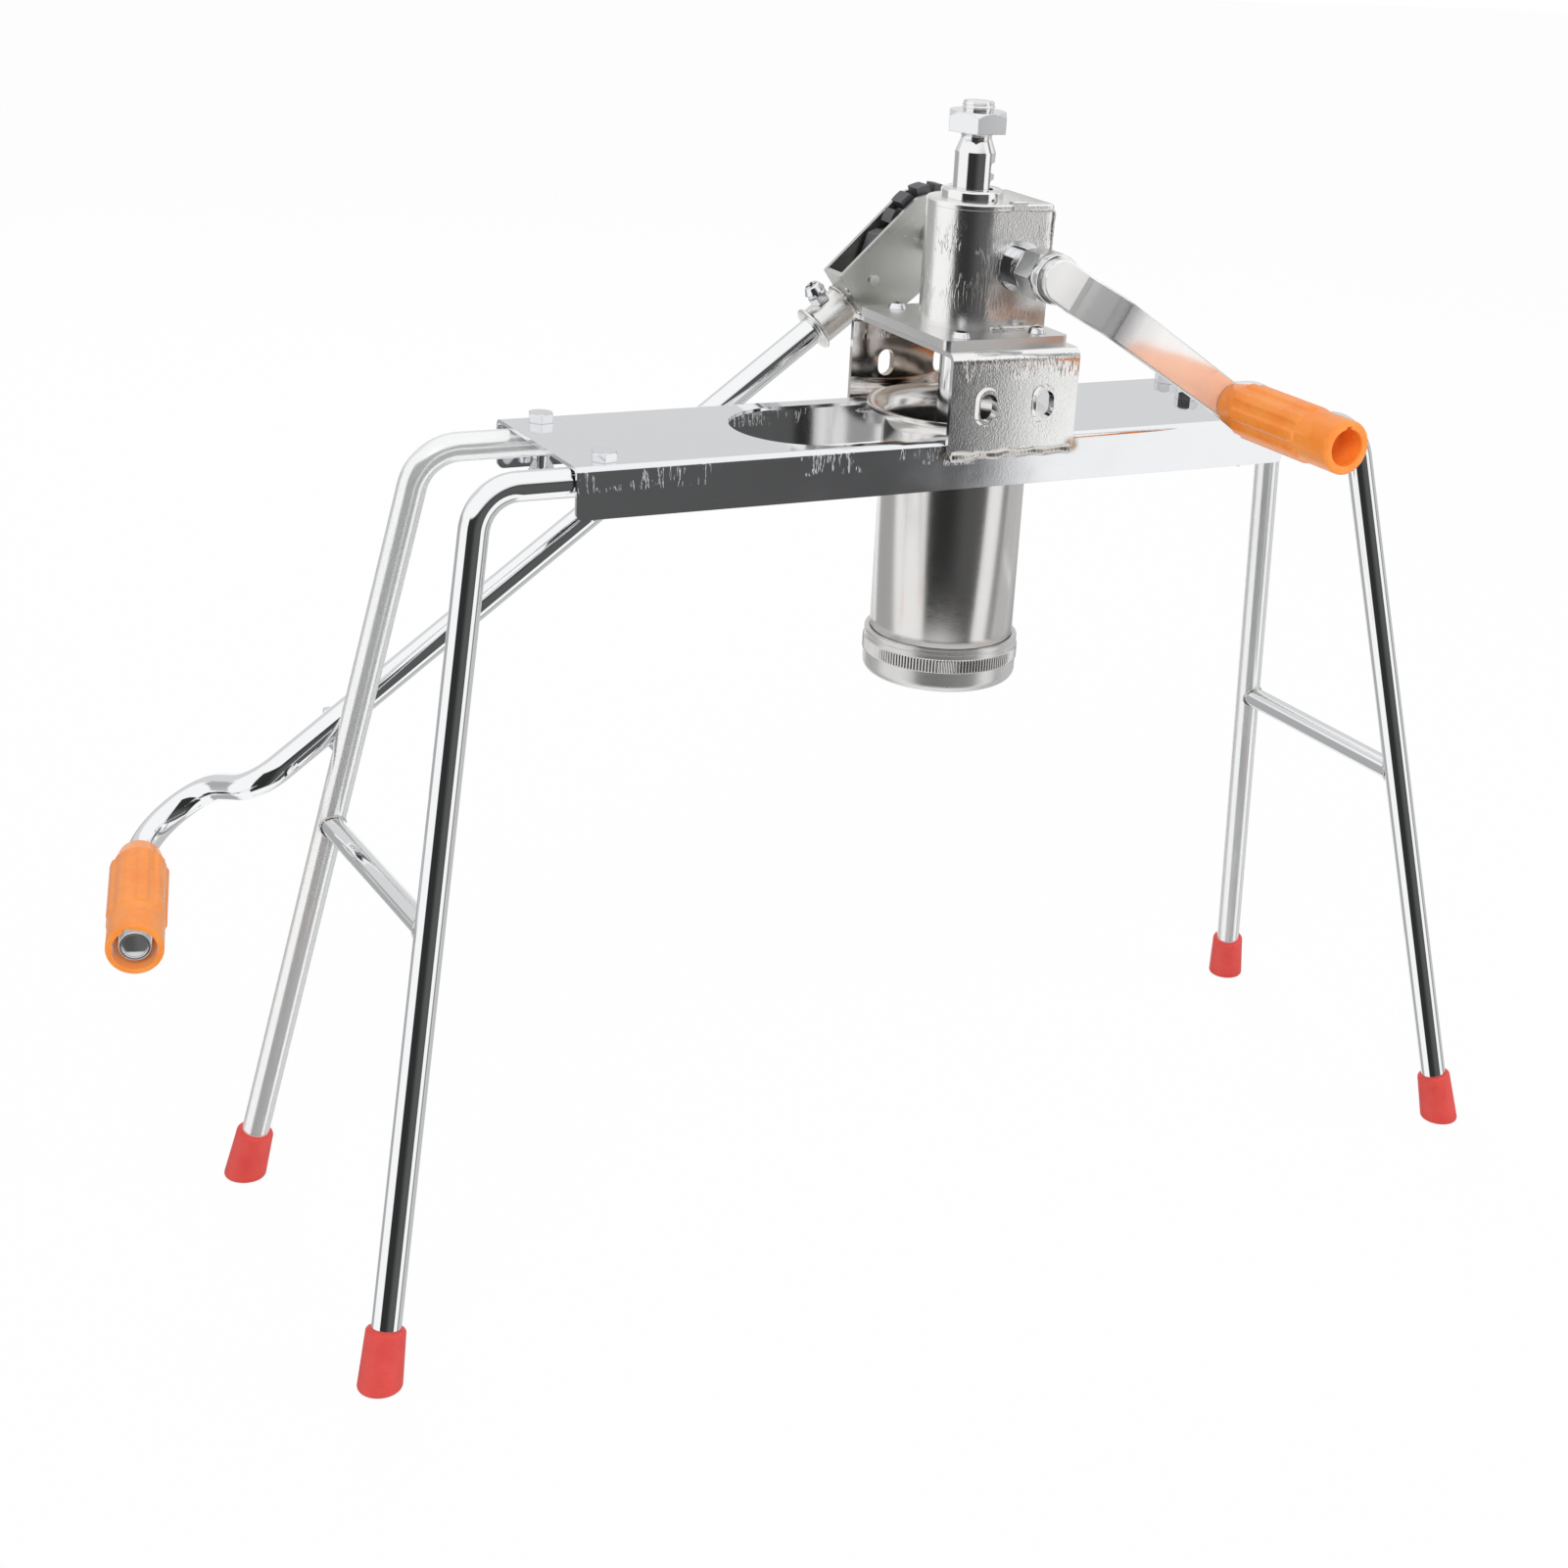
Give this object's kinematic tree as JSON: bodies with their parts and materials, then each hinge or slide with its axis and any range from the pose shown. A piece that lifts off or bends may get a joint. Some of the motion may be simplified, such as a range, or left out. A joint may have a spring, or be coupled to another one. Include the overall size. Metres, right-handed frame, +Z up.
{
  "type": "pasta machine",
  "caption": "Hand-cranked pasta press on a tube-leg bench: barrel in a slotted top, toothed rack and piston, folding crank and a long ratchet lever.",
  "frame": {"origin": "centre of the bounding box's footprint, at floor height", "axes": "+X along the bench towards the crank handle's end, +Y to the rear where the long lever is, +Z up"},
  "size_m": [0.6344, 0.25, 0.4862],
  "materials": {
    "bench_sheet": "mirror polished sheet",
    "tube_chrome": "bright chrome plated tube",
    "foot_rubber": "soft red rubber",
    "bolt_zinc": "bright zinc plated fixings",
    "bridge_sheet": "polished folded sheet",
    "weld_metal": "rough weld beads",
    "housing_metal": "polished housing",
    "turned_steel": "turned steel",
    "barrel_steel": "brushed stainless tube and knurled cap",
    "die_brass": "turned die plate",
    "piston_metal": "turned piston",
    "arm_nickel": "satin nickel plated bar",
    "lever_nickel": "satin nickel plated sheet",
    "ratchet_black": "blackened steel",
    "grip_plastic": "glossy orange plastic"
  },
  "bodies": {
    "frame": {"bench_top": "bench_sheet", "leg_front_left": "tube_chrome", "leg_front_right": "tube_chrome", "leg_rear_left": "tube_chrome", "leg_rear_right": "tube_chrome", "foot_front_left": "foot_rubber", "foot_front_right": "foot_rubber", "foot_rear_left": "foot_rubber", "foot_rear_right": "foot_rubber", "crossbar_left": "tube_chrome", "crossbar_right": "tube_chrome", "leg_bolts": "bolt_zinc", "leg_wing_nuts": "bolt_zinc", "bench_bolt": "bolt_zinc", "bench_bolt_nut": "bolt_zinc", "lever_hook": "tube_chrome", "bridge": "bridge_sheet", "bridge_welds": "weld_metal", "head_plate": "bridge_sheet", "head_screws": "bolt_zinc", "gear_housing": "housing_metal", "housing_lid": "housing_metal", "housing_weld": "weld_metal", "rack_guide": "turned_steel", "shaft_bush_front": "turned_steel", "shaft_bush_rear": "turned_steel", "barrel": "barrel_steel"},
    "crank": {"crank_shaft": "turned_steel", "pinion": "turned_steel", "crank_washer": "bolt_zinc", "crank_nut": "bolt_zinc", "crank_collar": "turned_steel", "crank_arm": "arm_nickel", "grip_spindle": "turned_steel", "rear_spacer": "turned_steel", "ratchet_wheel": "ratchet_black", "rear_nut": "bolt_zinc"},
    "crank_grip_body": {"crank_grip": "grip_plastic"},
    "press": {"rack": "turned_steel", "rack_nut": "bolt_zinc", "piston": "piston_metal", "piston_nut": "piston_metal"},
    "lever": {"lever_channel": "lever_nickel", "pawl_pin": "turned_steel", "lever_socket": "lever_nickel", "socket_screw": "bolt_zinc", "socket_nut": "bolt_zinc", "lever_tube": "tube_chrome", "lever_end_cap": "tube_chrome"},
    "pawl_body": {"pawl": "ratchet_black"},
    "lever_grip_body": {"lever_grip": "grip_plastic"},
    "die_body": {"die_plate": "die_brass"},
    "cap_body": {"die_cap": "barrel_steel"}
  },
  "joints": [
    {"name": "crank_turn", "type": "hinge", "parent": "frame", "child": "crank", "pos_m": [0.0618, 0.0153, 0.4215], "axis": [0, 1, 0], "range_deg": [-146, 651]},
    {"name": "crank_grip_spin", "type": "hinge", "parent": "crank", "child": "crank_grip_body", "pos_m": [0.14782, -0.0877, 0.36858], "axis": [0, 1, 0], "continuous": true},
    {"name": "rack_slide", "type": "slide", "parent": "frame", "child": "press", "axis": [0, 0, 1], "range_m": [-0.0225, 0.1]},
    {"name": "lever_swing", "type": "hinge", "parent": "frame", "child": "lever", "pos_m": [0.0618, 0.0733, 0.4215], "axis": [0, 1, 0], "range_deg": [0, 110]},
    {"name": "pawl_lift", "type": "hinge", "parent": "lever", "child": "pawl_body", "pos_m": [0.0318, 0.0733, 0.40327], "axis": [0, 1, 0], "range_deg": [-25, 0]},
    {"name": "lever_grip_spin", "type": "hinge", "parent": "lever", "child": "lever_grip_body", "pos_m": [-0.2935, 0.07253, 0.16194], "axis": [-0.2796, -0.9565, -0.0833], "continuous": true},
    {"name": "cap_slide", "type": "slide", "parent": "frame", "child": "die_body", "axis": [0, 0, -1], "range_m": [0, 0.0136]},
    {"name": "cap_turn", "type": "hinge", "parent": "die_body", "child": "cap_body", "pos_m": [0.0478, 0.0153, 0.249], "axis": [0, 0, -1], "range_deg": [0, 2430]}
  ],
  "couplings": [
    {"joint": "rack_slide", "follows": "crank_turn", "m_per_rad": 0.0088},
    {"joint": "cap_slide", "follows": "cap_turn", "m_per_rad": 0.00031831}
  ]
}
